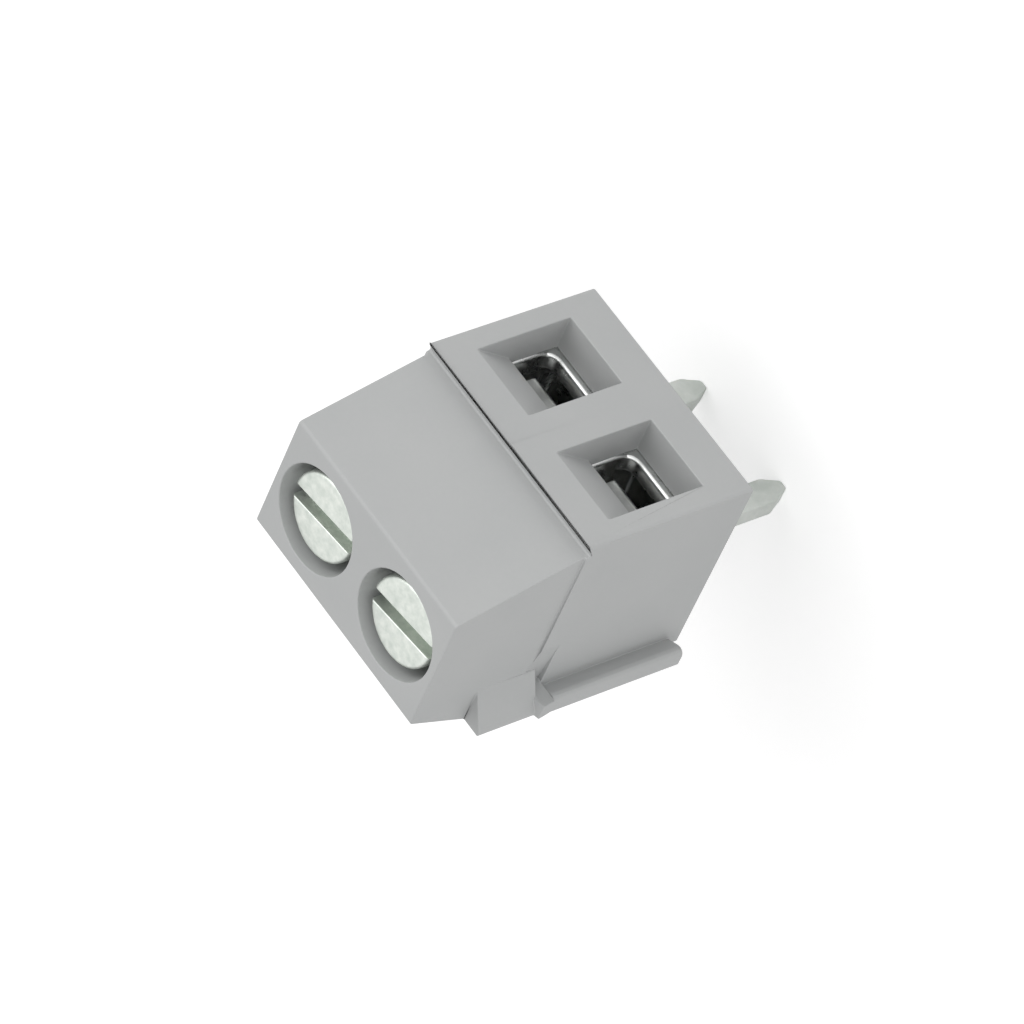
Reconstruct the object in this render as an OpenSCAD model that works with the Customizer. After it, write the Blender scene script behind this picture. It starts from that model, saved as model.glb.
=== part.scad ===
// Two-pole screw terminal for a printed circuit board.
//
// Wires go in at the front (-Y), screws are turned from the top (+Z) and two
// flat solder pins reach down through the board (-Z).  The origin lies on the
// board plane, midway between the two pins.  Pole 1 is at -X, pole 2 at +X.
//
// Depths along Y are measured from the wire-entry face with at(depth).

/* [Housing] */
// Distance from pole to pole
pitch = 5; // [4.8:0.1:6.4]
// Height of the screw face over the board
body_height = 12.5; // [11.8:0.1:14]
// Depth from the wire-entry face to the back face
body_depth = 8.5; // [8.3:0.1:10]
// Height of the wire-entry block, up to its ridge
entry_height = 7.4; // [7.2:0.1:8.4]
// Depth of the ledge behind the ridge, where the sloping face starts
ledge_depth = 0.55; // [0.45:0.05:0.9]
// Width of the crest of the ridge
ridge_width = 0.12; // [0.08:0.02:0.2]
// How far the ledge falls toward the sloping face
ridge_groove = 0.18; // [0.1:0.02:0.3]
// Step in the entry face between the poles, at the ridge
pole_step = 0.05; // [0.02:0.01:0.1]
// Height at which that step fades out
step_foot = 2; // [1:0.5:4]
// Setback of the screw face from the wire-entry face
crown_setback = 2.1; // [1.6:0.1:2.4]
// Depth of the screw face
crown_depth = 5.4; // [5.2:0.1:6.2]
// Height at which the back face starts to lean forward
back_break = 9.7; // [9:0.1:11]
// How much narrower the crown is than the block, on each end
end_inset = 0.1; // [0.05:0.05:0.25]
// Height of the faint band along each end face
band_height = 0.85; // [0.4:0.05:1.2]
// How far that band stands out
band_step = 0.04; // [0.02:0.01:0.08]
// Radius of the moulded outer edges
edge_radius = 0.18; // [0.1:0.02:0.3]

/* [Wire entry] */
// Width of the funnel
funnel_width = 3.2; // [3:0.1:3.5]
// Height of the funnel floor over the board
funnel_bottom = 1.7; // [1.5:0.1:2.2]
// Height at which the sloping lip leaves the entry face
funnel_top = 6; // [5.6:0.1:6.6]
// Height of the lower edge of the lip
lip_height = 4; // [3.6:0.1:4.4]
// Depth of the lower edge of the lip
lip_depth = 1.3; // [1:0.1:1.5]
// Housing wall between the lip and the clamp body
lip_wall = 0.35; // [0.25:0.05:0.6]

/* [Clamp body] */
// Width of the clamp body
clamp_width = 3.9; // [3.7:0.1:4.1]
// Thickness of its front plate
front_plate = 0.7; // [0.5:0.05:0.9]
// Depth of the wire chamber behind the front plate
chamber_depth = 4.05; // [3.8:0.05:4.2]
// Height of the wire chamber
chamber_height = 3.95; // [3.7:0.05:4.3]
// Thickness of the back plate
back_plate = 0.4; // [0.3:0.05:0.6]
// Thickness of the floor that holds the solder pin
floor_plate = 0.75; // [0.55:0.05:0.9]
// Thickness of the roof that carries the thread
roof_plate = 1.75; // [1.4:0.05:1.85]
// Height of the clamp body over the board
clamp_lift = 0.5; // [0.3:0.05:0.6]
// How much the window is narrower than the funnel, on each side
window_step = 0.08; // [0.04:0.02:0.2]
// Sill of the window over the funnel floor
window_sill = 0.28; // [0.1:0.02:0.4]
// Corner radius of the window in the front plate
window_radius = 0.5; // [0.3:0.05:0.8]
// Front plate that is left above the window
window_header = 0.4; // [0.2:0.05:0.6]

/* [Pressure plate] */
// Width of the pressure plate
plate_width = 2.4; // [2:0.1:2.8]
// Thickness of the pressure plate
plate_thick = 0.6; // [0.5:0.05:0.7]
// Height of its underside over the board
plate_height = 2.5; // [2.3:0.05:2.9]
// Height of its upturned front flange
flange_height = 1.5; // [1.2:0.1:1.7]
// Thickness of that flange
flange_thick = 0.3; // [0.2:0.05:0.5]
// Bend radius under the flange
bend_radius = 0.3; // [0.15:0.05:0.45]

/* [Screw] */
// Distance of the screw axis from the wire-entry face
screw_setback = 4.8; // [4.6:0.1:5]
// Outside diameter of the thread
thread_d = 3; // [2.6:0.1:3.1]
// Diameter of the head
head_d = 3.4; // [3.3:0.1:3.7]
// Height of the head
head_height = 2; // [1.6:0.1:2.4]
// How far the head lies below the screw face
head_recess = 0.3; // [0.1:0.05:0.8]
// Gap around the head in its well
head_gap = 0.37; // [0.2:0.01:0.45]
// Radius of the rim of the head
head_round = 0.15; // [0.05:0.05:0.3]
// Width of the slot
slot_width = 0.56; // [0.4:0.02:0.8]
// Depth of the slot
slot_depth = 0.8; // [0.5:0.1:1.2]
// Angle of the slots from the row, in degrees
slot_turn = 8; // [0:1:45]
// Diameter of the pivot that carries the pressure plate
pivot_d = 1.2; // [1:0.1:1.4]
// Diameter of the riveted end of that pivot
rivet_d = 1.7; // [1.6:0.1:2]

/* [Solder pin] */
// Distance of the pins from the wire-entry face
pin_setback = 5.1; // [4.6:0.1:5.3]
// Width of a pin along the row
pin_width = 1.1; // [0.9:0.05:1.3]
// Thickness of a pin
pin_thick = 0.8; // [0.5:0.05:1]
// Length of a pin below the housing
pin_length = 5.3; // [3.5:0.1:6]
// Width of the blunt tip
tip_width = 0.44; // [0.3:0.02:0.7]
// Length of the tapered end
tip_length = 0.8; // [0.5:0.1:1.2]
// Width of the tenon in the floor of the clamp body
tenon_width = 0.7; // [0.5:0.05:0.8]

/* [Row coupling] */
// How far the dovetail rail stands out of the end face
rail_out = 0.86; // [0.6:0.02:0.95]
// Depth of the rail at its outer face
rail_depth = 0.9; // [0.8:0.05:1]
// Undercut of the rail's front flank
rail_undercut = 0.4; // [0.2:0.05:0.5]
// Radius of the rail's outer front edge
rail_round = 0.26; // [0.1:0.02:0.35]
// Height at which the rail starts
rail_foot = 0.6; // [0.4:0.1:1]
// How far the ramp above the rail stands out
ramp_out = 0.73; // [0.5:0.02:0.85]
// Depth of the ramp
ramp_depth = 1.6; // [1.3:0.1:1.8]
// Height of the stop tab between rail and ramp
tab_height = 0.55; // [0.4:0.05:0.7]
// How far the stop tab stands proud of the rail
tab_out = 0.09; // [0.03:0.01:0.12]
// Depth to which the end face is relieved beside the tab
relief = 0.3; // [0.15:0.05:0.35]
// Length over which that relief runs out to the front
relief_run = 2.4; // [1.5:0.1:3]
// Clearance of the rail in the next block's groove
rail_fit = 0.06; // [0.03:0.01:0.1]

/* [Fits] */
// Clearance between clamp body and housing
clamp_fit = 0.02; // [0.01:0.01:0.05]
// Running clearance of screw, pivot and thread
running_fit = 0.05; // [0.02:0.01:0.08]
// Clearance of the pressure plate behind the front plate
guide_fit = 0.08; // [0.05:0.01:0.15]

/* [Hidden] */

$fn = 64;
POLES = 2;
ARC_STEPS = 5;
CUT = 1;                                    // how far a cutter reaches past a face

row_width = POLES * pitch;
half_row = row_width / 2;
front = -pin_setback;                       // Y of the wire-entry face
crown_back = crown_setback + crown_depth;
band_bottom = entry_height - band_height;
well_d = head_d + 2 * head_gap;
clamp_front = lip_depth + lip_wall;
clamp_depth = front_plate + chamber_depth + back_plate;
floor_top = clamp_lift + floor_plate;
ceiling = floor_top + chamber_height;
clamp_top = ceiling + roof_plate;
window_width = funnel_width - 2 * window_step;
chamber_front = clamp_front + front_plate;
chamber_back = chamber_front + chamber_depth;
pocket_top = clamp_top + clamp_fit;
head_top = body_height - head_recess;
plate_top = plate_height + plate_thick;
plate_front = chamber_front + guide_fit;
plate_back = chamber_back - guide_fit;
rivet_sink = plate_thick / 2;               // counterbore under the pressure plate
rivet_h = rivet_sink - 2 * running_fit;
tenon_head = 0.18;                          // riveted end of the pin over the floor
lean = (crown_setback - ledge_depth) / (body_height - entry_height);
rail_neck = body_depth - rail_depth + rail_undercut;

function at(depth) = front + depth;
function pole_x(n) = (n - (POLES + 1) / 2) * pitch;

// Rounds the corners of a polygon: each point is [u, v, radius].
function turned(v, a) = [v[0] * cos(a) - v[1] * sin(a), v[0] * sin(a) + v[1] * cos(a)];
function toward(a, b) = (b - a) / norm(b - a);
function arc_at(a, b, c, r) =
    let (u = toward(b, a), w = toward(b, c), half = acos(u * w) / 2,
         centre = b + (u + w) / norm(u + w) * r / sin(half),
         start = b + u * r / tan(half) - centre,
         sweep = (180 - 2 * half) * (cross(u, w) < 0 ? 1 : -1))
    [for (k = [0 : ARC_STEPS]) centre + turned(start, sweep * k / ARC_STEPS)];
function rounded(p) =
    [for (i = [0 : len(p) - 1])
        let (n = len(p), a = p[(i + n - 1) % n], b = p[i], c = p[(i + 1) % n])
        each b[2] == 0 ? [[b[0], b[1]]]
                       : arc_at([a[0], a[1]], [b[0], b[1]], [c[0], c[1]], b[2])];

// Carries a profile of [depth, height] points along the row from x0 to x1.
module along_row(x0, x1, profile) {
    translate([x0, front, 0]) rotate([90, 0, 90]) linear_extrude(x1 - x0) polygon(profile);
}

// Raises a plan outline of [x, depth] points from z0 to z1.
module raised(z0, z1, plan) {
    translate([0, front, z0]) linear_extrude(z1 - z0) polygon(plan);
}

// ---- housing --------------------------------------------------------------

// The wire-entry block: full width, with rounded upright edges.
module entry_block() {
    r = edge_radius;
    raised(0, entry_height, rounded([
        [-half_row, 0, r], [half_row, 0, r], [half_row, body_depth, r], [-half_row, body_depth, r]]));
}

// The crown above it: the sloping face, the screw face and the leaning back.
module crown() {
    r = edge_radius;
    foot = entry_height - 2 * ridge_groove;
    along_row(-half_row + end_inset, half_row - end_inset, rounded([
        [ledge_depth - 2 * ridge_groove * lean, foot, 0],
        [body_depth, foot, 0],
        [body_depth, back_break, 2 * r],
        [crown_back, body_height, r],
        [crown_setback, body_height, r]]));
}

// The ledge behind the ridge falls toward the foot of the sloping face.
module ridge_cut() {
    along_row(-half_row - CUT, half_row + CUT, rounded([
        [ridge_width, entry_height + CUT, 0],
        [ridge_width, entry_height, 0],
        [ledge_depth - ridge_groove * lean, entry_height - ridge_groove, edge_radius / 2],
        [ledge_depth + CUT * lean, entry_height + CUT, 0]]));
}

// The entry face of the +X pole lies back by a hair at the ridge.
module pole_step_cut() {
    fall = pole_step / (entry_height - step_foot);
    along_row(0, half_row + CUT, [
        [-CUT, step_foot], [0, step_foot],
        [pole_step + CUT * fall, entry_height + CUT], [-CUT, entry_height + CUT]]);
}

// Below the band each end face steps back by a hair.
module band_relief(side) {
    x0 = side * (half_row - band_step);
    x1 = side * (half_row + CUT);
    along_row(min(x0, x1), max(x0, x1), [
        [-CUT, -CUT], [body_depth + CUT, -CUT], [body_depth + CUT, band_bottom], [-CUT, band_bottom]]);
}

// Dovetail rail, stop tab and ramp; grown by a clearance they cut the groove
// that takes the next block.
module coupling(grow = 0) {
    root = half_row - 2 * relief;
    out = half_row + rail_out + grow;
    back = body_depth + (grow > 0 ? CUT : 0);
    mouth = body_depth - rail_depth - grow;
    foot = grow > 0 ? -CUT : rail_foot;
    raised(foot, band_bottom, rounded([
        [-root, rail_neck + relief, 0], [-half_row, rail_neck - grow, 0],
        [-out, mouth, rail_round], [-out, back, 0.08], [-root, back, 0]]));
    tab(grow, root, out, back);
    ramp(grow, back);
}

// The stop tab: a low nose that rises toward the ramp.
module tab(grow, root, out, back) {
    top = band_bottom + tab_height;
    translate([0, at(back), 0]) rotate([90, 0, 0])
        linear_extrude(back - rail_neck + rail_undercut / 2 + grow) polygon(rounded([
            [-root, band_bottom - grow, 0], [-out, band_bottom - grow, 0],
            [-out - tab_out, top, 0.06], [-half_row, top + tab_height / 2 + grow, 0],
            [-root, top + tab_height / 2 + grow, 0]]));
}

// The ramp rises from the end of the crown to the back edge.
module ramp(grow, back) {
    crown_end = half_row - end_inset;
    out = half_row + ramp_out + grow;
    start = body_depth - ramp_depth - grow;
    foot = grow > 0 ? band_bottom : band_bottom + tab_height;
    raised(foot, back_break + grow, [
        [-crown_end + 2 * relief, start], [-crown_end - grow, start],
        [-out, body_depth - edge_radius], [-out, back], [-crown_end + 2 * relief, back]]);
}

// The end face is relieved beside the tab, deeper toward the back.
module tab_relief() {
    start = rail_neck - relief_run;
    raised(band_bottom, entry_height + ridge_groove, [
        [-half_row - CUT, start], [-half_row, start],
        [-half_row + relief, rail_neck], [-half_row + relief, body_depth + CUT],
        [-half_row - CUT, body_depth + CUT]]);
}

// One wire funnel: a level floor, upright sides and the long sloping lip.
module funnel(x) {
    rise = (funnel_top - lip_height) / lip_depth;
    along_row(x - funnel_width / 2, x + funnel_width / 2, [
        [-CUT, funnel_bottom], [clamp_front + clamp_fit, funnel_bottom],
        [clamp_front + clamp_fit, lip_height], [lip_depth, lip_height],
        [-CUT, funnel_top + CUT * rise]]);
}

// The pocket that the clamp body is pressed into from below.
module clamp_pocket(x) {
    w = clamp_width / 2 + clamp_fit;
    raised(-CUT, pocket_top, [
        [x - w, clamp_front - clamp_fit], [x + w, clamp_front - clamp_fit],
        [x + w, clamp_front + clamp_depth + clamp_fit], [x - w, clamp_front + clamp_depth + clamp_fit]]);
}

// The round well over it, wide enough for the screw head.
module screw_well(x) {
    translate([x, at(screw_setback), clamp_top]) cylinder(d = well_d, h = body_height);
}

module housing() {
    color([0.71, 0.71, 0.71]) difference() {
        union() {
            difference() {
                union() {
                    difference() {
                        entry_block();
                        ridge_cut();
                        pole_step_cut();
                        for (side = [-1, 1]) band_relief(side);
                    }
                    crown();
                }
                tab_relief();
            }
            coupling();
        }
        translate([row_width, 0, 0]) coupling(rail_fit);
        for (n = [1 : POLES]) {
            funnel(pole_x(n));
            clamp_pocket(pole_x(n));
            screw_well(pole_x(n));
        }
    }
}

// ---- metal parts ----------------------------------------------------------

// Clamp body: a box with a window in its front plate, a wire chamber, a
// threaded roof and a slot in its floor for the solder pin.  The bore reaches
// down through the chamber, because the tap may score the back plate.
module clamp_body(n) {
    x = pole_x(n);
    w = clamp_width / 2;
    r = edge_radius;
    color([0.80, 0.81, 0.80]) difference() {
        raised(clamp_lift, clamp_top, rounded([
            [x - w, clamp_front, r], [x + w, clamp_front, r],
            [x + w, clamp_front + clamp_depth, r], [x - w, clamp_front + clamp_depth, r]]));
        raised(floor_top, ceiling, [
            [x - window_width / 2, chamber_front], [x + window_width / 2, chamber_front],
            [x + window_width / 2, chamber_back], [x - window_width / 2, chamber_back]]);
        window(x);
        translate([x, at(screw_setback), floor_top])
            cylinder(d = thread_d + 2 * running_fit, h = body_height);
        translate([x - tenon_width / 2, -pin_thick / 2, clamp_lift - CUT])
            cube([tenon_width, pin_thick, floor_plate + CUT + tenon_head / 2]);
    }
}

// The window: a rounded rectangle through the front plate.
module window(x) {
    w = window_width / 2;
    r = window_radius;
    translate([x, at(chamber_front) + clamp_fit, 0]) rotate([90, 0, 0])
        linear_extrude(front_plate + CUT) polygon(rounded([
            [-w, funnel_bottom + window_sill, r], [w, funnel_bottom + window_sill, r],
            [w, ceiling - window_header, r], [-w, ceiling - window_header, r]]));
}

// Solder pin: a flat blade with a tapered tip and a tenon that is riveted over
// the floor of the clamp body.
module solder_pin(n) {
    w = pin_width / 2;
    t = tenon_width / 2;
    color([0.78, 0.80, 0.79]) translate([pole_x(n), pin_thick / 2, 0]) rotate([90, 0, 0])
        linear_extrude(pin_thick) polygon(rounded([
            [-tip_width / 2, -pin_length, 0.1], [tip_width / 2, -pin_length, 0.1],
            [w, tip_length - pin_length, 0.2], [w, clamp_lift, 0], [t, clamp_lift, 0],
            [t, floor_top, 0], [w * 0.9, floor_top, 0], [t, floor_top + tenon_head, 0],
            [-t, floor_top + tenon_head, 0], [-w * 0.9, floor_top, 0], [-t, floor_top, 0],
            [-t, clamp_lift, 0], [-w, clamp_lift, 0], [-w, tip_length - pin_length, 0.2]]));
}

// Pressure plate: hangs on the pivot of the screw and presses the wire down.
// Its front edge is bent up, so that a wire can't slip over it.
module pressure_plate(n) {
    x = pole_x(n);
    w = plate_width / 2;
    axis = [x, at(screw_setback), plate_height];
    color([0.72, 0.73, 0.72]) difference() {
        along_row(x - w, x + w, rounded([
            [plate_front, plate_height, bend_radius], [plate_back, plate_height, 0.1],
            [plate_back, plate_top, 0.1], [plate_front + flange_thick, plate_top, 0.1],
            [plate_front + flange_thick, plate_height + flange_height, 0.05],
            [plate_front, plate_height + flange_height, 0.05]]));
        translate(axis - [0, 0, CUT]) cylinder(d = pivot_d + 2 * running_fit, h = plate_thick + 2 * CUT);
        translate(axis - [0, 0, CUT]) cylinder(d = rivet_d + 2 * running_fit, h = rivet_sink + CUT);
    }
}

// Clamp screw: slotted cheese head, threaded shank and the riveted pivot.
module clamp_screw(n) {
    tip = plate_top + running_fit;
    rivet_top = plate_height + rivet_sink - running_fit;
    arc = [for (k = [0 : ARC_STEPS]) let (a = 90 * k / ARC_STEPS)
        [head_d / 2 - head_round * (1 - cos(a)), head_top - head_round * (1 - sin(a))]];
    color([0.83, 0.85, 0.83]) translate([pole_x(n), at(screw_setback), 0]) difference() {
        rotate_extrude() polygon(concat(
            [[0, rivet_top - rivet_h], [rivet_d / 2, rivet_top - rivet_h], [rivet_d / 2, rivet_top],
             [pivot_d / 2, rivet_top], [pivot_d / 2, tip], [thread_d / 2 - 0.3, tip],
             [thread_d / 2, tip + 0.3], [thread_d / 2, head_top - head_height],
             [head_d / 2 - 0.1, head_top - head_height], [head_d / 2, head_top - head_height + 0.1]],
            arc, [[0, head_top]]));
        rotate(slot_turn) translate([0, 0, head_top])
            cube([head_d + CUT, slot_width, 2 * slot_depth], center = true);
    }
}

housing();
clamp_body(1);  // clamp_body_1
clamp_body(2);  // clamp_body_2
solder_pin(1);  // solder_pin_1
solder_pin(2);  // solder_pin_2
pressure_plate(1);  // pressure_plate_1
pressure_plate(2);  // pressure_plate_2
clamp_screw(1);  // clamp_screw_1
clamp_screw(2);  // clamp_screw_2
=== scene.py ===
# %% [markdown]
# # A two-pole screw terminal for a circuit board
#
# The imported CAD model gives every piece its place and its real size.  This
# lesson dresses it: rounded moulded edges, a real thread, and a finish for
# each material.  All lengths are in metres, and MM turns millimetres into them.

# %% Load the frame
import math

import bmesh
import bpy
import numpy as np
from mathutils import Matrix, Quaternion, Vector
from mathutils.bvhtree import BVHTree


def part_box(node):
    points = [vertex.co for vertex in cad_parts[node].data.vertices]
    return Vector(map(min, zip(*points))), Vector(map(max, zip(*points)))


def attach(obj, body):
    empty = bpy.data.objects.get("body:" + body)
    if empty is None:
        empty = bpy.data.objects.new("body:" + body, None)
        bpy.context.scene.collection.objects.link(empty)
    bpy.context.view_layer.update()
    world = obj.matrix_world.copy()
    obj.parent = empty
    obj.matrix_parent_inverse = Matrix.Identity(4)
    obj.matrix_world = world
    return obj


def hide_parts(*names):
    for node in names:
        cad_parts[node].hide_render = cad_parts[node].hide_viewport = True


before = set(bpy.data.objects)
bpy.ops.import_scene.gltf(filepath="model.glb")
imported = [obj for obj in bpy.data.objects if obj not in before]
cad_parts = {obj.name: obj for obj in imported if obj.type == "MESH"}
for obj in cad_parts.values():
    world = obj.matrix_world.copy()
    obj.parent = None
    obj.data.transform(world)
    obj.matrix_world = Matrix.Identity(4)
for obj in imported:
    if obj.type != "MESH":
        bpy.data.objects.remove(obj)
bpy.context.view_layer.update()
MM = 0.001
POLES = (1, 2)

# %% [markdown]
# ## The camera
#
# A long lens far away keeps the block's edges almost parallel, as in a
# catalogue picture.  The camera is rolled to its side, because the block is
# shown lying askew.  Angles and distance say this better than a matrix would:
# azimuth 0 looks along +Y, and the roll turns the top of the frame clockwise.

# %% Camera
AIM = Vector((0.646, 0.496, 4.676)) * MM
AZIMUTH, ELEVATION, ROLL = (math.radians(angle) for angle in (-29.744, 34.911, 109.478))
DISTANCE = 267.84 * MM
LENS_MM = 266.77


def add_camera():
    """The view direction is (-sin az cos el, cos az cos el, -sin el)."""
    view = Vector((-math.sin(AZIMUTH) * math.cos(ELEVATION),
                   math.cos(AZIMUTH) * math.cos(ELEVATION), -math.sin(ELEVATION)))
    camera = bpy.data.objects.new("camera", bpy.data.cameras.new("camera"))
    bpy.context.scene.collection.objects.link(camera)
    camera.location = AIM - view * DISTANCE
    camera.rotation_mode = "QUATERNION"
    camera.rotation_quaternion = view.to_track_quat("-Z", "Y") @ Quaternion((0, 0, 1), -ROLL)
    camera.data.lens = LENS_MM
    camera.data.clip_start = 0.01
    bpy.context.scene.camera = camera
    return camera


camera = add_camera()
print("camera at", [round(c / MM, 1) for c in camera.location], "mm")

# %% [markdown]
# ## Shader maths as Python
#
# A material is a small formula.  Wiring each Math node by hand hides that, so
# a thin wrapper around a socket overloads the operators: `0.3 + mask * 0.5`
# then adds the nodes by itself.  Every other node comes from one method.

# %% The socket wrapper


class Graph:
    """A material's node tree.  node() adds any node and returns its outputs wrapped."""

    def __init__(self, name):
        self.material = bpy.data.materials.new(name)
        self.material.use_nodes = True
        self.tree = self.material.node_tree
        self.tree.nodes.clear()

    def node(self, kind, settings=None, inputs=None, output=0):
        """Settings are set first, then each socket gets its value or link."""
        new = self.tree.nodes.new(kind)
        for key, value in (settings or {}).items():
            setattr(new, key, value)
        for key, value in (inputs or {}).items():
            if isinstance(value, Socket):
                self.tree.links.new(value.socket, new.inputs[key])
            else:
                new.inputs[key].default_value = value
        return Socket(self, new.outputs[output]) if new.outputs else new


class Socket:
    """An output socket that can be added, subtracted and multiplied."""

    def __init__(self, graph, socket):
        self.graph = graph
        self.socket = socket

    def math(self, operation, *others):
        values = dict(enumerate((self, *others)))
        return self.graph.node("ShaderNodeMath", {"operation": operation}, values)

    def __add__(self, other):
        return self.math("ADD", other)

    def __radd__(self, other):
        return self.math("ADD", other)

    def __sub__(self, other):
        return self.math("SUBTRACT", other)

    def __mul__(self, other):
        return self.math("MULTIPLY", other)

    def clamp(self):
        return self.math("MAXIMUM", 0.0).math("MINIMUM", 1.0)


def noise(graph, place, size, detail=2.0, rough=0.5):
    """Soft random blotches of about the given size in metres, from 0 to 1."""
    return graph.node("ShaderNodeTexNoise", {},
                      {"Vector": place, "Scale": 1 / size, "Detail": detail, "Roughness": rough})


def blend(graph, factor, first, second):
    """A colour that goes from the first to the second as factor goes from 0 to 1."""
    return graph.node("ShaderNodeMix", {"data_type": "RGBA"},
                      {0: factor, 6: (*first, 1), 7: (*second, 1)}, output=2)


def surface(graph, **inputs):
    """Finishes the graph with the principled shader; uniform numbers go on its sockets."""
    inputs = {key.replace("_", " "): value for key, value in inputs.items()}
    shader = graph.node("ShaderNodeBsdfPrincipled", {}, inputs)
    graph.node("ShaderNodeOutputMaterial", {}, {"Surface": shader})
    return graph.material


# %% [markdown]
# ## The grey moulding
#
# The housing is polyamide, moulded in a spark-eroded tool: an even light grey
# with a fine satin grain.  A flat colour would look like paper, so a slow
# noise tints it as flow marks do, a fine one freckles it, and a finer bump
# breaks up the sheen.

# %% Housing plastic
BUMP_HEIGHT = 0.004 * MM


def housing_plastic():
    graph = Graph("housing_plastic")
    place = graph.node("ShaderNodeTexCoord", output=3)
    flow = noise(graph, place, 3.0 * MM, 3.0)
    freckle = noise(graph, place, 0.16 * MM, 2.0)
    grain = noise(graph, place, 0.07 * MM, 2.0, 0.6)
    tone = (flow * 0.75 + freckle * 0.25).clamp()
    colour = blend(graph, tone, (0.425, 0.437, 0.437), (0.485, 0.490, 0.487))
    bump = graph.node("ShaderNodeBump", {},
                      {"Strength": 0.35, "Distance": BUMP_HEIGHT, "Height": grain})
    return surface(graph, Base_Color=colour, Roughness=0.46 + grain * 0.12, Normal=bump, IOR=1.5)


PLASTIC = housing_plastic()

# %% [markdown]
# ## The metals
#
# Four metal finishes lie side by side: bright tin on the clamp bodies, duller
# tin on the dipped pins, plain steel on the pressure plates, and zinc on the
# screws, which is pale, faintly green and cloudy.  One function makes them
# all, because they differ only in tint, gloss and the size of their clouds.

# %% Metals
low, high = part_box("clamp_screw_2")
POLE_X = (low.x + high.x) / 2
SCREW_Y = (low.y + high.y) / 2
RING_SPACING = 0.11 * MM


def metal(name, dark, light, cloud, rough, pits, turned=0.0):
    """Clouds blend two tints; pits are a fine bump; turned adds rings around each screw axis.

    The ring height is sin(2 pi r / spacing), with r the distance from the nearest axis.
    """
    graph = Graph(name)
    place = graph.node("ShaderNodeTexCoord", output=3)
    clouds = noise(graph, place, cloud, 4.0, 0.6)
    tone = ((clouds - 0.5) * 2.4 + 0.5).clamp()
    height = noise(graph, place, 0.05 * MM, 3.0, 0.6) * pits
    if turned:
        axes = graph.node("ShaderNodeSeparateXYZ", {}, {"Vector": place})
        along = Socket(graph, axes.socket.node.outputs[0]).math("ABSOLUTE") - POLE_X
        depth = Socket(graph, axes.socket.node.outputs[1]) - SCREW_Y
        radius = (along * along + depth * depth).math("SQRT")
        height = height + (radius * (2 * math.pi / RING_SPACING)).math("SINE") * turned
    bump = graph.node("ShaderNodeBump", {},
                      {"Strength": 0.5, "Distance": BUMP_HEIGHT, "Height": height})
    return surface(graph, Base_Color=blend(graph, tone, dark, light), Metallic=1.0,
                   Roughness=rough + clouds * 0.16, Normal=bump)


TIN = metal("tin_plate", (0.70, 0.71, 0.70), (0.86, 0.87, 0.86), 0.8 * MM, 0.20, 0.5)
PIN_TIN = metal("pin_tin", (0.66, 0.70, 0.66), (0.82, 0.84, 0.81), 0.9 * MM, 0.42, 1.0)
STEEL = metal("plate_steel", (0.50, 0.51, 0.50), (0.66, 0.67, 0.66), 0.5 * MM, 0.28, 0.7)
ZINC = metal("zinc_plate", (0.62, 0.67, 0.62), (0.82, 0.85, 0.80), 0.35 * MM, 0.36, 1.0,
             turned=0.25)
print("screw axis at x =", round(POLE_X / MM, 2), "y =", round(SCREW_Y / MM, 2), "mm")

# %% [markdown]
# ## Rounding what the mould and the press have rounded
#
# The CAD nodes have the right form but knife-sharp edges, and nothing catches
# light like a small radius.  A copy of a node is welded from loose triangles
# into whole faces, and a Bevel modifier rounds its sharp edges.  A radius
# that is wider than the face beside it would fold over, so each edge first
# measures the room it has: a point that far inside both faces must still lie
# on them.  The share of the full radius that fits becomes the bevel weight.

# %% Welding a copy and weighing its edges
SHARP = math.radians(24)
SHARES = (1.0, 0.7, 0.45, 0.25, 0.12)
WELD = 0.0005 * MM
NEARLY_FLAT = math.radians(0.4)
ON_PLANE, SAME_WAY = 0.002 * MM, 0.999
BEVEL_SEGMENTS = 3


def welded(node):
    """The CAD node's triangles as one closed mesh of whole faces."""
    shell = bmesh.new()
    shell.from_mesh(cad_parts[node].data)
    bmesh.ops.remove_doubles(shell, verts=shell.verts, dist=WELD)
    bmesh.ops.dissolve_limit(shell, angle_limit=NEARLY_FLAT, verts=shell.verts, edges=shell.edges)
    shell.normal_update()
    return shell


def has_room(tree, edge, face, reach):
    """True if points that far inside the face, beside the edge, still lie on its plane."""
    start, end = (vertex.co for vertex in edge.verts)
    inward = face.normal.cross(end - start).normalized()
    loop = next(loop for loop in edge.link_loops if loop.face == face)
    if loop.vert != edge.verts[0]:
        inward.negate()
    for share in (0.15, 0.5, 0.85):
        point = start.lerp(end, share) + inward * reach
        hit, normal, _, distance = tree.find_nearest(point)
        if hit is None or distance > ON_PLANE or normal.dot(face.normal) < SAME_WAY:
            return False
    return True


def weigh(shell, radius):
    """Bevel weight of each sharp edge: the largest share of the radius that fits twice."""
    tree = BVHTree.FromBMesh(shell)
    layer = shell.edges.layers.float.new("bevel_weight_edge")
    counts = 0
    for edge in shell.edges:
        if len(edge.link_faces) != 2 or edge.calc_face_angle(0) < SHARP:
            continue
        for share in SHARES:
            if all(has_room(tree, edge, face, 2 * share * radius) for face in edge.link_faces):
                edge[layer] = share
                counts += 1
                break
    return counts


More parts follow.
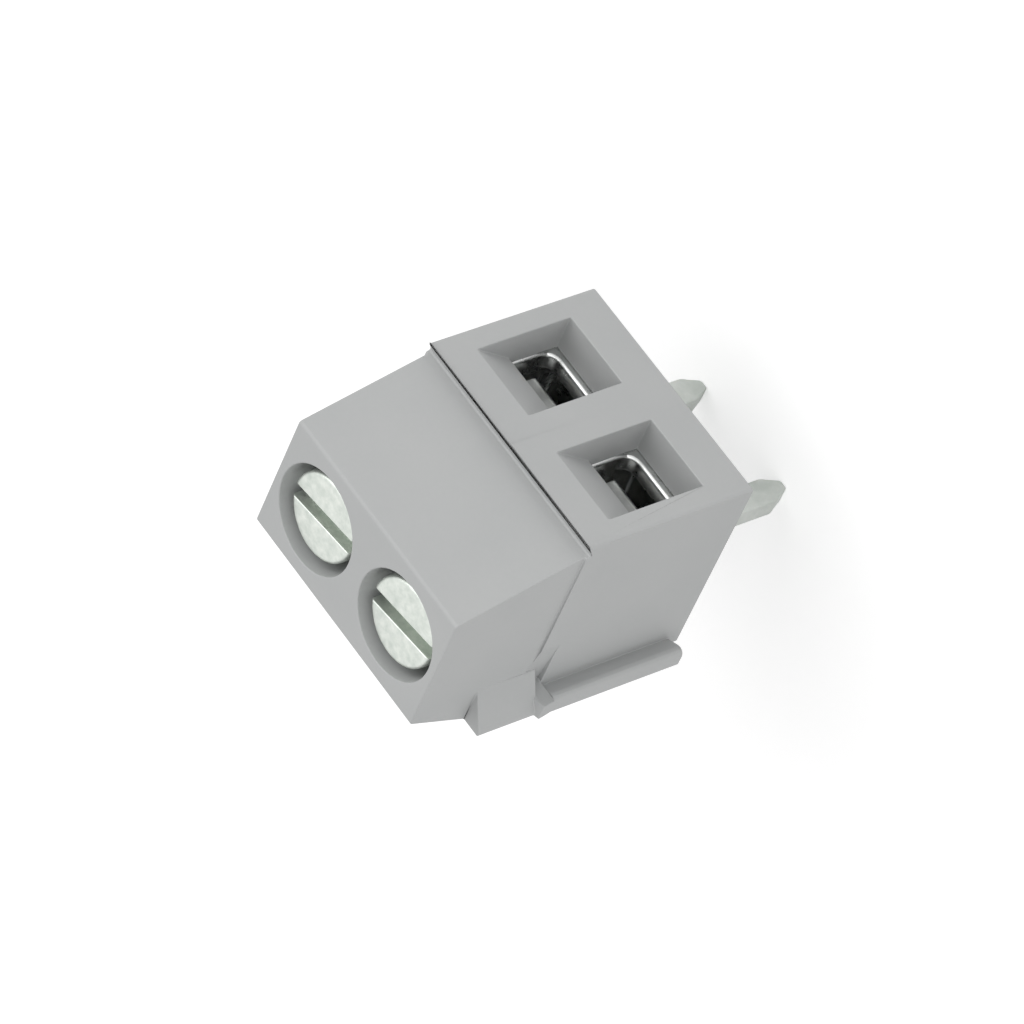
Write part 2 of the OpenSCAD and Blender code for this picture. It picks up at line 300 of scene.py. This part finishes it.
def finish(piece, shell, node, body, material, radius=0):
    """Turns the shell into the piece that stands for the CAD node; radius 0 adds no bevel."""
    mesh = bpy.data.meshes.new(piece)
    shell.to_mesh(mesh)
    shell.free()
    mesh.shade_smooth()
    mesh.set_sharp_from_angle(angle=SHARP)
    mesh.materials.append(material)
    made = bpy.data.objects.new(piece, mesh)
    bpy.context.scene.collection.objects.link(made)
    if radius:
        bevel = made.modifiers.new("edges", "BEVEL")
        bevel.width, bevel.segments = radius, BEVEL_SEGMENTS
        bevel.limit_method = "WEIGHT"
        bevel.use_clamp_overlap = False
        bevel.miter_outer = "MITER_ARC"
        weighted = made.modifiers.new("normals", "WEIGHTED_NORMAL")
        weighted.keep_sharp = True
        weighted.weight = 90
    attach(made, body)
    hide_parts(node)


def rounded_copy(piece, node, body, material, radius):
    """The CAD node's own shape with its sharp edges rounded."""
    shell = welded(node)
    faces, count = len(shell.faces), weigh(shell, radius)
    finish(piece, shell, node, body, material, radius)
    print(piece, "-", faces, "whole faces,", count, "rounded edges")


# %% Housing
MOULDED, MACHINED, PRESSED = 0.04 * MM, 0.12 * MM, 0.05 * MM
rounded_copy("housing_shell", "housing", "block", PLASTIC, MOULDED)

# %% [markdown]
# ## Clamp bodies and pressure plates
#
# Both are pressed from sheet or cut from bar, and tumbled before plating, so
# their edges are soft too.  They are seen only through the funnels, but their
# bright rims are what tells the eye that there is metal inside.

# %% Clamp bodies and plates
for pole in POLES:
    rounded_copy(f"clamp_{pole}", f"clamp_body_{pole}", "block", TIN, MACHINED)
    rounded_copy(f"plate_{pole}", f"pressure_plate_{pole}", f"plate_{pole}",
                 STEEL, PRESSED)

# %% [markdown]
# ## Grids
#
# The screws and pins are new surfaces: each is a grid of rings, and a ring is
# closed on itself.  One helper turns the arrays of points into a mesh and caps
# both ends, so a shape is only a formula for its points.

# %% Rings to mesh


def ring_faces(rings, columns, first):
    """Quads between neighbouring rings, and one face over each open end."""
    row, column = np.meshgrid(np.arange(rings - 1), np.arange(columns), indexing="ij")
    beside = (column + 1) % columns
    quads = np.stack([row * columns + column, row * columns + beside,
                      (row + 1) * columns + beside, (row + 1) * columns + column], axis=-1)
    sides = (quads.reshape(-1, 4) + first).tolist()
    ends = [(np.arange(columns)[::-1] + first).tolist(),
            (np.arange(columns) + first + (rings - 1) * columns).tolist()]
    return sides + ends


def grid_piece(piece, grids, node, body, material):
    """Joins grids of shape (rings, columns, 3) into one piece with outward faces."""
    points = np.concatenate([grid.reshape(-1, 3) for grid in grids])
    faces, first = [], 0
    for grid in grids:
        faces += ring_faces(grid.shape[0], grid.shape[1], first)
        first += grid.shape[0] * grid.shape[1]
    mesh = bpy.data.meshes.new(piece)
    mesh.from_pydata(points, [], faces)
    shell = bmesh.new()
    shell.from_mesh(mesh)
    bpy.data.meshes.remove(mesh)
    bmesh.ops.remove_doubles(shell, verts=shell.verts, dist=WELD)
    bmesh.ops.recalc_face_normals(shell, faces=shell.faces)
    finish(piece, shell, node, body, material)
    print(piece, "-", len(points), "points")


# %% [markdown]
# ## The screws
#
# A cheese-head screw has three forms.  Its shank is a turned bar whose radius
# rises and falls along a helix.  Its tip is a pivot with a riveted end, which
# carries the pressure plate.  Its head is round but its slot is straight, so
# its grid runs in straight rows along the slot: then the slot's edges are grid
# lines, and they stay crisp.

# %% Screw sizes
HEAD_R = (high.x - low.x) / 2
HEAD_TOP, TIP = high.z, low.z
HEAD_HEIGHT, HEAD_RIM = 2.0 * MM, 0.15 * MM
SLOT_WIDTH, SLOT_DEPTH, SLOT_TURN = 0.56 * MM, 0.8 * MM, math.radians(8)
SLOT_LIP, SLOT_CORNER = 0.04 * MM, 0.03 * MM
HEAD_STEPS = 5
THREAD_R, THREAD_DEPTH, LEAD = 1.5 * MM, 0.28 * MM, 0.5 * MM
THREAD_START, THREAD_END, SHANK_CHAMFER = 0.4 * MM, 0.6 * MM, 0.3 * MM
RINGS_PER_TURN = 14
PIVOT_R, RIVET_R = 0.6 * MM, 0.85 * MM
RIVET_CHAMFER, RIVET_HEIGHT = 0.08 * MM, 0.2 * MM
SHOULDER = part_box("pressure_plate_1")[0].z + 0.65 * MM
TURNS = np.linspace(0, 2 * math.pi, 64, endpoint=False)


def turned_rings(profile):
    """Rings around the screw axis: each profile pair is (radius, height)."""
    radius, height = np.array(profile).T
    ring = np.ones_like(TURNS)
    return np.stack([radius[:, None] * np.cos(TURNS), radius[:, None] * np.sin(TURNS),
                     height[:, None] * ring], axis=-1)


def thread_rings(start, end):
    """Radius = outer - depth * groove(z / lead - angle / 2 pi), a right-hand thread.

    groove is 0 on the crest and 1 at the root, with straight flanks between, and it
    fades out at both ends of the shank.
    """
    height = np.arange(start, end, LEAD / RINGS_PER_TURN)[:, None]
    phase = (height / LEAD - TURNS / (2 * math.pi)) % 1.0
    groove = np.clip(np.abs(phase - 0.5) * -3.2 + 1.4, 0, 1)
    fade = np.clip((height - start) / THREAD_START, 0, 1)
    fade = fade * np.clip((end - height) / THREAD_END, 0, 1)
    radius = THREAD_R - THREAD_DEPTH * groove * fade
    radius = radius - SHANK_CHAMFER * np.clip(1 - (height - start) / SHANK_CHAMFER, 0, 1)
    return np.stack([radius * np.cos(TURNS), radius * np.sin(TURNS),
                     height * np.ones_like(TURNS)], axis=-1)


def head_rows():
    """The rows' distances from the slot's middle, and the height of the head there."""
    half = SLOT_WIDTH / 2
    bend = np.linspace(0, math.pi / 2, 5)
    first = math.asin((half + SLOT_LIP) / HEAD_R)
    outer = HEAD_R * np.sin(np.linspace(first, math.pi / 2, 22))[1:]
    lip = half + SLOT_LIP * (1 - np.cos(bend))
    side = np.concatenate([[half - SLOT_CORNER, half], lip, outer])
    drop = np.concatenate([[SLOT_DEPTH, SLOT_DEPTH - SLOT_CORNER], SLOT_LIP * (1 - np.sin(bend)),
                           np.zeros(len(outer))])
    return (np.concatenate([-side[::-1], side]),
            HEAD_TOP - np.concatenate([drop[::-1], drop]))


def head_rings():
    """Each row is a chord of the head: up its side, over the top and down again.

    On the top x = s * sqrt(R^2 - y^2), and the rim falls away as a quarter circle.
    """
    across, level = head_rows()
    half = np.sqrt(np.maximum(HEAD_R ** 2 - across ** 2, 0))[:, None]
    share = np.sin(np.linspace(-math.pi / 2, math.pi / 2, 41))
    along = half * share
    past = np.clip((np.hypot(along, across[:, None]) - (HEAD_R - HEAD_RIM)) / HEAD_RIM, 0, 1)
    round_top = HEAD_TOP - HEAD_RIM * (1 - np.sqrt(1 - past ** 2))
    top = np.minimum(level[:, None], round_top)
    climb = np.linspace(0, 1, HEAD_STEPS + 1)[:-1]
    foot = HEAD_TOP - HEAD_HEIGHT
    side = foot + (top[:, :1] - foot) * climb
    edge = half * np.ones(HEAD_STEPS)
    x = np.concatenate([-edge, along, edge], axis=1)
    z = np.concatenate([side, top, side[:, ::-1]], axis=1)
    y = across[:, None] * np.ones_like(x)
    return np.stack([x * math.cos(SLOT_TURN) - y * math.sin(SLOT_TURN),
                     x * math.sin(SLOT_TURN) + y * math.cos(SLOT_TURN), z], axis=-1)


def screw_grids(centre):
    """Pivot, shank and head; each reaches a little into the next."""
    rivet_top = TIP + RIVET_HEIGHT
    pivot = turned_rings([(0.7 * RIVET_R, TIP), (RIVET_R, TIP + RIVET_CHAMFER),
                          (RIVET_R, rivet_top), (PIVOT_R, rivet_top),
                          (PIVOT_R, SHOULDER + 0.3 * MM)])
    shank = thread_rings(SHOULDER, HEAD_TOP - HEAD_HEIGHT + 0.2 * MM)
    return [grid + np.array(centre) for grid in (pivot, shank, head_rings())]


# %% Screws
for pole, side in zip(POLES, (-1, 1)):
    grid_piece(f"screw_{pole}", screw_grids((side * POLE_X, SCREW_Y, 0)),
               f"clamp_screw_{pole}", f"screw_{pole}", ZINC)

# %% [markdown]
# ## The solder pins
#
# A pin is punched from strip: flat on two sides, with corners rounded by the
# tin.  Its section is a rounded rectangle, and only its half width and half
# thickness change on the way from the blunt tip to the riveted end.

# %% Pin rings
CORNER = 0.07 * MM
CORNER_POINTS = 7
TIP_HALF = 0.22 * MM
TENON_HALF, SEAT, CLAMP_FLOOR = 0.35 * MM, 0.5 * MM, 1.25 * MM


def pin_section(half_x, half_y, corner):
    """A rounded rectangle: each quarter circle is shifted into its own corner."""
    quarter = np.linspace(0, math.pi / 2, CORNER_POINTS)
    angle = (quarter + np.arange(4)[:, None] * math.pi / 2).ravel()
    side = np.repeat([[1, 1], [-1, 1], [-1, -1], [1, -1]], len(quarter), axis=0)
    inner = np.array([half_x - corner, half_y - corner])
    return side * inner + corner * np.stack([np.cos(angle), np.sin(angle)], axis=-1)


def pin_rings(centre, rows):
    """Stacks sections of (height, half width, half thickness, corner)."""
    rings = [np.column_stack([pin_section(w, t, c), np.full(4 * CORNER_POINTS, z)])
             for z, w, t, c in rows]
    return np.array(rings) + np.array(centre)


def pin_rows(node):
    """From the blunt tip, over the taper and the blade, to the riveted tenon."""
    low_pin, high_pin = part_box(node)
    foot, top = low_pin.z, high_pin.z
    wide, thick = (high_pin.x - low_pin.x) / 2, (high_pin.y - low_pin.y) / 2
    spread = wide * 0.9
    tip = [(foot + rise * MM, TIP_HALF - worn * MM, thick - worn * MM, CORNER * share)
           for rise, worn, share in ((0.0, 0.09, 0.9), (0.02, 0.04, 1), (0.09, 0.0, 1))]
    taper = [(foot + (0.55 + 0.25 * s) * MM,
              TIP_HALF + (wide - TIP_HALF) * (0.66 + 0.34 * s ** 0.7), thick, CORNER)
             for s in np.linspace(0, 1, 5)]
    blade = [(SEAT, wide, thick, CORNER), (SEAT, TENON_HALF, thick, CORNER),
             (CLAMP_FLOOR, TENON_HALF, thick, CORNER)]
    rivet = [(CLAMP_FLOOR, spread, thick, CORNER), (CLAMP_FLOOR + 0.06 * MM, spread, thick, CORNER),
             (top, TENON_HALF, thick * 0.8, CORNER)]
    return tip + taper + blade + rivet


# %% Pins
for pole, side in zip(POLES, (-1, 1)):
    node = f"solder_pin_{pole}"
    grid_piece(f"pin_{pole}", [pin_rings((side * POLE_X, 0, 0), pin_rows(node))],
               node, "block", PIN_TIN)

# %% [markdown]
# ## Floor and light
#
# The block stands over a plain pale floor, at the level of its pins' tips, in
# soft light from everywhere.  The world is white, and what the camera and the
# glossy metal see of it is plain white.  The floor adds a little light of its
# own for the camera only, which lifts it to white and keeps the soft shadow.

# %% Floor
FLOOR_REACH = 1.0
FLOOR_GLOW = 0.34


def add_floor(level):
    """A wide square whose glow is seen by camera rays only."""
    mesh = bpy.data.meshes.new("floor")
    corners = [(x * FLOOR_REACH, y * FLOOR_REACH, level)
               for x, y in ((-1, -1), (1, -1), (1, 1), (-1, 1))]
    mesh.from_pydata(corners, [], [(0, 1, 2, 3)])
    graph = Graph("floor_paper")
    matte = graph.node("ShaderNodeBsdfDiffuse", {}, {"Color": (0.86, 0.86, 0.86, 1)})
    seen = graph.node("ShaderNodeLightPath", output=0)
    glow = graph.node("ShaderNodeEmission", {},
                      {"Color": (1, 1, 1, 1), "Strength": seen * FLOOR_GLOW})
    both = graph.node("ShaderNodeAddShader", {}, {0: matte, 1: glow})
    graph.node("ShaderNodeOutputMaterial", {}, {"Surface": both})
    mesh.materials.append(graph.material)
    floor = bpy.data.objects.new("floor", mesh)
    bpy.context.scene.collection.objects.link(floor)


add_floor(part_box("solder_pin_1")[0].z)

# %% World and lamps
LAMP_DISTANCE = 0.5


def add_world(level):
    """White light of the given level; plain white to the camera, to gloss and to glass."""
    world = bpy.data.worlds.new("studio")
    world.use_nodes = True
    tree = world.node_tree
    tree.nodes.clear()
    path = tree.nodes.new("ShaderNodeLightPath")
    seen = tree.nodes.new("ShaderNodeMath")
    seen.operation = "MAXIMUM"
    shiny = tree.nodes.new("ShaderNodeMath")
    shiny.operation = "MAXIMUM"
    strength = tree.nodes.new("ShaderNodeMapRange")
    strength.inputs["To Min"].default_value = level
    strength.inputs["To Max"].default_value = 1.0
    back = tree.nodes.new("ShaderNodeBackground")
    out = tree.nodes.new("ShaderNodeOutputWorld")
    tree.links.new(path.outputs["Is Camera Ray"], seen.inputs[0])
    tree.links.new(path.outputs["Is Glossy Ray"], seen.inputs[1])
    tree.links.new(seen.outputs[0], shiny.inputs[0])
    tree.links.new(path.outputs["Is Transmission Ray"], shiny.inputs[1])
    tree.links.new(shiny.outputs[0], strength.inputs["Value"])
    tree.links.new(strength.outputs[0], back.inputs["Strength"])
    back.inputs["Color"].default_value = (1, 1, 1, 1)
    tree.links.new(back.outputs[0], out.inputs["Surface"])
    bpy.context.scene.world = world


def add_lamp(name, direction, watts, size):
    """A square soft box that looks at the block from the given direction."""
    lamp = bpy.data.objects.new(name, bpy.data.lights.new(name, "AREA"))
    lamp.data.energy, lamp.data.size = watts, size
    lamp.location = AIM + Vector(direction).normalized() * LAMP_DISTANCE
    lamp.rotation_euler = (AIM - lamp.location).to_track_quat("-Z", "Y").to_euler()
    bpy.context.scene.collection.objects.link(lamp)


add_world(0.62)
add_lamp("key", (0.55, -0.6, 0.75), 1.0, 0.5)
add_lamp("fill", (-0.8, -0.35, 0.5), 0.7, 0.6)
bpy.context.scene.view_settings.view_transform = "Standard"
print("floor, world and 2 lamps in place")
